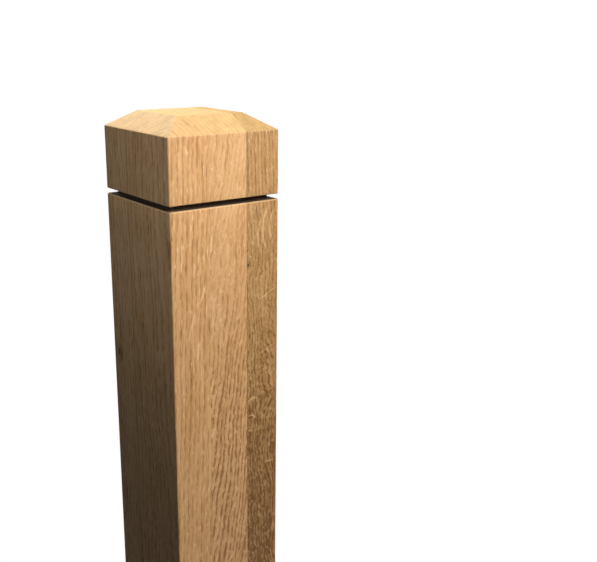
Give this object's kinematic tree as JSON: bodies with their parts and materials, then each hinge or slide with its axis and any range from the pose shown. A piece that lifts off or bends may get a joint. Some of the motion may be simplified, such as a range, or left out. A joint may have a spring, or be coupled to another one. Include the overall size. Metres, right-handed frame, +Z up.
{
  "type": "newel post",
  "caption": "Square laminated oak newel post with a shadow groove under a low pyramid cap with a flat top.",
  "frame": {"origin": "centre of the sawn base, on the surface that the post stands on", "axes": "+Z up along the post's length; -Y is the front face, across which all the staves show; -X is the face on the left of the front"},
  "size_m": [0.095, 0.095, 1.5],
  "materials": {
    "oak_left_front": "planed and sanded oak, satin oil",
    "oak_left_back": "planed and sanded oak, satin oil",
    "oak_middle": "planed and sanded oak, satin oil",
    "oak_right": "planed and sanded oak, satin oil"
  },
  "bodies": {
    "root": {"stave_left_front": "oak_left_front", "stave_left_back": "oak_left_back", "stave_middle": "oak_middle", "stave_right": "oak_right"}
  },
  "joints": []
}
